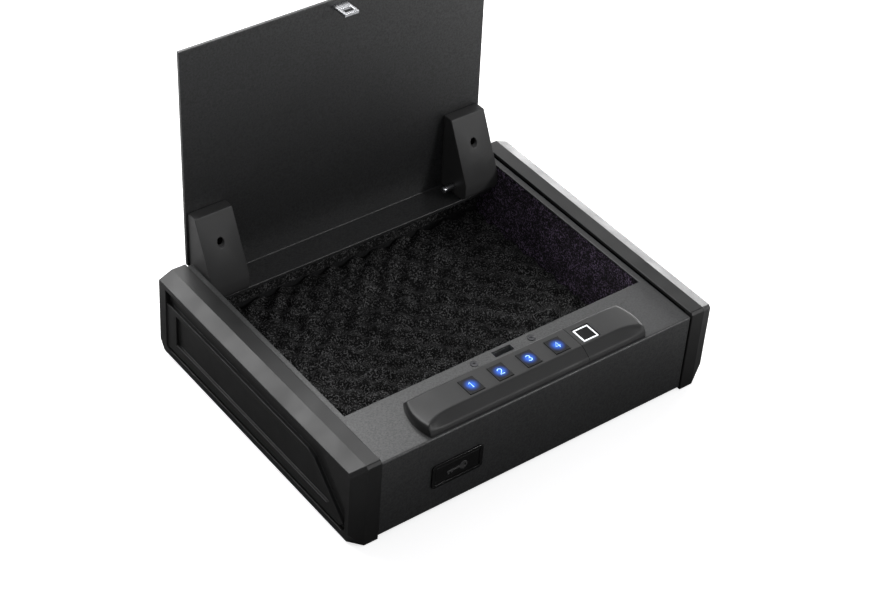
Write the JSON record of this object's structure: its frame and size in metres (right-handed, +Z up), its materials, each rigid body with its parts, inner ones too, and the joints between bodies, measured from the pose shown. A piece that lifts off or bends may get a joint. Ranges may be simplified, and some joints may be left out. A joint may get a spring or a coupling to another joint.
{
  "type": "gun safe",
  "caption": "Low steel quick-access gun safe with moulded end caps, a lid that swings up on two hinge arms, a foam-lined inside, a keypad and fingerprint console and a backup key lock.",
  "frame": {"origin": "centre of the footprint on the ground, on the plane of the rubber feet", "axes": "+X to the right along the front, +Y from the front to the hinge side, +Z up"},
  "size_m": [0.3186, 0.2582, 0.2469],
  "materials": {
    "powder_coated_steel": "fine textured black powder coat",
    "cap_plastic": "fine grained moulding",
    "arm_plastic": "satin black",
    "console_plastic": "fine grained moulding",
    "black_plastic": "satin moulding",
    "gloss_black": "glossy moulding",
    "key_plastic": "backlit translucent key",
    "sensor_glass": "smooth black sensor",
    "light_frame": "white light surround",
    "black_foam": "open-cell polyurethane foam",
    "black_rubber": "matt rubber",
    "bright_steel": "bright zinc plate",
    "zinc_steel": "zinc plated",
    "dark_steel": "black oxide",
    "spring_steel": "drawn spring wire",
    "chrome_plate": "polished nickel",
    "brass": "turned brass",
    "circuit_board": "green solder mask",
    "solenoid_case": "copper coloured lacquer",
    "cell_wrap": "shrink wrap",
    "cable_jacket": "flexible PVC"
  },
  "bodies": {
    "body": {"body_shell": "powder_coated_steel", "hinge_lugs": "dark_steel", "left_end_cap": "cap_plastic", "right_end_cap": "cap_plastic", "rubber_feet": "black_rubber", "cap_screws": "zinc_steel", "left_hinge_pin": "bright_steel", "right_hinge_pin": "bright_steel", "left_lid_spring": "spring_steel", "right_lid_spring": "spring_steel", "control_housing": "console_plastic", "biometric_housing": "console_plastic", "keypad_board": "circuit_board", "key_switches": "black_plastic", "fingerprint_sensor": "sensor_glass", "sensor_frame": "light_frame", "console_screws": "zinc_steel", "deck_screws": "dark_steel", "latch_bracket": "zinc_steel", "solenoid": "solenoid_case", "key_cover_frame": "gloss_black", "lock_barrel": "chrome_plate", "lock_nut": "brass", "compartment_cover": "powder_coated_steel", "cover_screws": "zinc_steel", "battery_box": "black_plastic", "battery_cells": "cell_wrap", "battery_contacts": "bright_steel", "control_board": "circuit_board", "board_screws": "zinc_steel", "buzzer": "black_plastic", "wire_harness": "cable_jacket", "floor_foam": "black_foam", "left_foam_liner": "black_foam", "right_foam_liner": "black_foam", "front_foam_liner": "black_foam", "rear_foam_liner": "black_foam"},
    "lid": {"lid_panel": "powder_coated_steel", "left_hinge_arm": "arm_plastic", "right_hinge_arm": "arm_plastic", "striker": "bright_steel"},
    "latch_bolt": {"latch_bolt": "bright_steel"},
    "key_cover": {"key_cover": "black_plastic"},
    "lock_plug": {"lock_plug": "chrome_plate", "lock_cam": "zinc_steel"},
    "release_bar": {"release_bar": "zinc_steel"},
    "battery_cover": {"battery_cover": "black_plastic"},
    "key_1": {"key_1": "key_plastic"},
    "key_2": {"key_2": "key_plastic"},
    "key_3": {"key_3": "key_plastic"},
    "key_4": {"key_4": "key_plastic"}
  },
  "joints": [
    {"name": "lid_hinge", "type": "hinge", "parent": "body", "child": "lid", "pos_m": [0, 0.111, 0.0555], "axis": [1, 0, 0], "range_deg": [0, 92]},
    {"name": "key_1_press", "type": "slide", "parent": "body", "child": "key_1", "axis": [0, 0, -1], "range_m": [0, 0.001]},
    {"name": "key_2_press", "type": "slide", "parent": "body", "child": "key_2", "axis": [0, 0, -1], "range_m": [0, 0.001]},
    {"name": "key_3_press", "type": "slide", "parent": "body", "child": "key_3", "axis": [0, 0, -1], "range_m": [0, 0.001]},
    {"name": "key_4_press", "type": "slide", "parent": "body", "child": "key_4", "axis": [0, 0, -1], "range_m": [0, 0.001]},
    {"name": "latch_bolt_slide", "type": "slide", "parent": "body", "child": "latch_bolt", "axis": [0, 1, 0], "range_m": [0, 0.006]},
    {"name": "key_cover_hinge", "type": "hinge", "parent": "body", "child": "key_cover", "pos_m": [-0.0719, -0.1208, 0.04025], "axis": [-1, 0, 0], "range_deg": [0, 90]},
    {"name": "lock_plug_turn", "type": "hinge", "parent": "body", "child": "lock_plug", "pos_m": [-0.0719, -0.101, 0.0337], "axis": [0, 1, 0], "range_deg": [0, 90]},
    {"name": "release_bar_slide", "type": "slide", "parent": "body", "child": "release_bar", "axis": [1, 0, 0], "range_m": [0, 0.01132]},
    {"name": "battery_cover_slide", "type": "slide", "parent": "body", "child": "battery_cover", "axis": [1, 0, 0], "range_m": [0, 0.006]}
  ],
  "couplings": [
    {"joint": "release_bar_slide", "follows": "lock_plug_turn", "m_per_rad": 0.0072}
  ]
}
